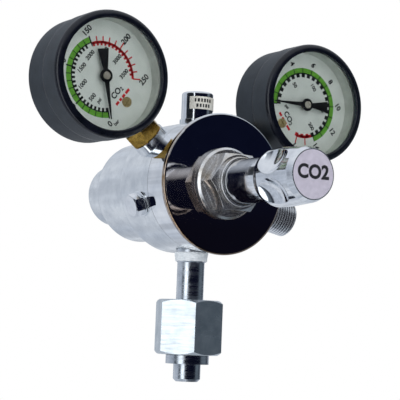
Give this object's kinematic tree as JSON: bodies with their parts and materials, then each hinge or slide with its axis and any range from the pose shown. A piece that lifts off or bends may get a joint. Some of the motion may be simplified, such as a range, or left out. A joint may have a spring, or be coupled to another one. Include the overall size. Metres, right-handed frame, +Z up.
{
  "type": "carbon dioxide cylinder regulator",
  "caption": "Chromed gas cylinder pressure regulator: turned body, adjusting knob on a flanged bonnet, cylinder and outlet pressure gauges, relief valve, union nut inlet and threaded outlet.",
  "frame": {"origin": "on the inlet stem's axis, at the shoulder where the nipple that enters the cylinder valve starts", "axes": "+Z up, opposite to the way the inlet stem points; the adjusting knob points along -Y; outlet pressure gauge and outlet towards +X"},
  "size_m": [0.1606, 0.159, 0.155],
  "materials": {
    "chrome": "bright polished",
    "chrome2": "bright plated",
    "zinc": "zinc plated, drawn",
    "steel": "machined",
    "brass": "machined",
    "rubber": "fabric reinforced",
    "tape": "thread sealing tape",
    "paper": "printed label",
    "case": "satin black",
    "bezel": "gloss black",
    "lens": "clear",
    "spacer": "off-white",
    "dial": "printed card white",
    "pointer": "matt black"
  },
  "bodies": {
    "regulator": {"bonnet": "chrome", "bonnet_nut": "chrome", "valve_body": "chrome", "rear_cap": "chrome", "safety_housing": "chrome", "outlet_fitting": "chrome2", "side_plug": "chrome2", "inlet_stem": "zinc", "diaphragm_ring": "steel", "main_spring": "steel", "poppet_spring": "steel", "safety_spring": "steel", "burst_disc": "steel", "screw_bushing": "brass", "seat_nozzle": "brass", "high_gauge_socket": "brass", "low_gauge_socket": "brass", "high_gauge_movement": "brass", "low_gauge_movement": "brass", "high_gauge_bourdon_tube": "brass", "low_gauge_bourdon_tube": "brass", "dial_screws": "brass", "safety_adjuster": "brass", "inlet_filter": "brass", "diaphragm": "rubber", "thread_tape": "tape", "safety_label": "paper", "high_gauge_case": "case", "low_gauge_case": "case", "high_gauge_bezel": "bezel", "low_gauge_bezel": "bezel", "high_gauge_lens": "lens", "low_gauge_lens": "lens", "high_gauge_spacer": "spacer", "low_gauge_spacer": "spacer", "high_gauge_dial": "dial", "low_gauge_dial": "dial"},
    "spring_button": {"spring_button": "steel"},
    "knob": {"knob": "chrome", "knob_label": "paper", "knob_sleeve": "chrome", "adjusting_screw": "steel"},
    "diaphragm_plate": {"diaphragm_plate": "steel"},
    "poppet": {"poppet": "brass"},
    "nut_slip_washer": {"nut_slip_washer": "brass"},
    "union_nut": {"union_nut": "zinc"},
    "safety_poppet": {"safety_poppet": "brass"},
    "high_gauge_pointer": {"high_gauge_pointer": "pointer", "high_gauge_pointer_cap": "brass", "high_gauge_arbor": "steel"},
    "high_gauge_sector": {"high_gauge_sector": "brass"},
    "high_gauge_link": {"high_gauge_link": "brass"},
    "low_gauge_pointer": {"low_gauge_pointer": "pointer", "low_gauge_pointer_cap": "brass", "low_gauge_arbor": "steel"},
    "low_gauge_sector": {"low_gauge_sector": "brass"},
    "low_gauge_link": {"low_gauge_link": "brass"}
  },
  "joints": [
    {"name": "spring_button_slide", "type": "slide", "parent": "regulator", "child": "spring_button", "axis": [0, 1, 0], "range_m": [0, 0.0045], "deforming": ["main_spring"]},
    {"name": "knob_turn", "type": "hinge", "parent": "spring_button", "child": "knob", "pos_m": [0, -0.0743, 0.078], "axis": [0, 1, 0], "range_deg": [0, 1081]},
    {"name": "diaphragm_plate_slide", "type": "slide", "parent": "regulator", "child": "diaphragm_plate", "axis": [0, 1, 0], "range_m": [0, 0.0008], "deforming": ["diaphragm"]},
    {"name": "poppet_slide", "type": "slide", "parent": "regulator", "child": "poppet", "axis": [0, 1, 0], "range_m": [0, 0.00081], "deforming": ["poppet_spring"]},
    {"name": "union_nut_slide", "type": "slide", "parent": "regulator", "child": "nut_slip_washer", "axis": [0, 0, 1], "range_m": [-0.019, 0.0155]},
    {"name": "union_nut_spin", "type": "hinge", "parent": "nut_slip_washer", "child": "union_nut", "pos_m": [0, 0, 0.018], "axis": [0, 0, 1], "continuous": true},
    {"name": "safety_poppet_lift", "type": "slide", "parent": "regulator", "child": "safety_poppet", "axis": [0, 0, 1], "range_m": [0, 0.0015], "deforming": ["safety_spring"]},
    {"name": "high_gauge_sector_swing", "type": "hinge", "parent": "regulator", "child": "high_gauge_sector", "pos_m": [-0.04679, -0.0025, 0.11508], "axis": [0, -1, 0], "range_deg": [0, 51.85]},
    {"name": "high_gauge_pointer_turn", "type": "hinge", "parent": "regulator", "child": "high_gauge_pointer", "pos_m": [-0.05306, -0.0025, 0.12005], "axis": [0, 1, 0], "range_deg": [0, 280.05]},
    {"name": "high_gauge_link_swing", "type": "hinge", "parent": "high_gauge_sector", "child": "high_gauge_link", "pos_m": [-0.05144, -0.0005, 0.11324], "axis": [0, -1, 0], "range_deg": [-51.9, 0]},
    {"name": "low_gauge_sector_swing", "type": "hinge", "parent": "regulator", "child": "low_gauge_sector", "pos_m": [0.04679, -0.0025, 0.11508], "axis": [0, -1, 0], "range_deg": [0, 52.87]},
    {"name": "low_gauge_pointer_turn", "type": "hinge", "parent": "regulator", "child": "low_gauge_pointer", "pos_m": [0.05306, -0.0025, 0.12005], "axis": [0, 1, 0], "range_deg": [0, 285.55]},
    {"name": "low_gauge_link_swing", "type": "hinge", "parent": "low_gauge_sector", "child": "low_gauge_link", "pos_m": [0.04606, -0.0005, 0.12003], "axis": [0, -1, 0], "range_deg": [-52.92, 0]}
  ],
  "couplings": [
    {"joint": "knob_turn", "follows": "spring_button_slide", "rad_per_m": 4188.8},
    {"joint": "poppet_slide", "follows": "diaphragm_plate_slide", "ratio": 1},
    {"joint": "high_gauge_pointer_turn", "follows": "high_gauge_sector_swing", "ratio": 5.4},
    {"joint": "high_gauge_link_swing", "follows": "high_gauge_sector_swing", "ratio": -1},
    {"joint": "low_gauge_pointer_turn", "follows": "low_gauge_sector_swing", "ratio": 5.4},
    {"joint": "low_gauge_link_swing", "follows": "low_gauge_sector_swing", "ratio": -1}
  ]
}
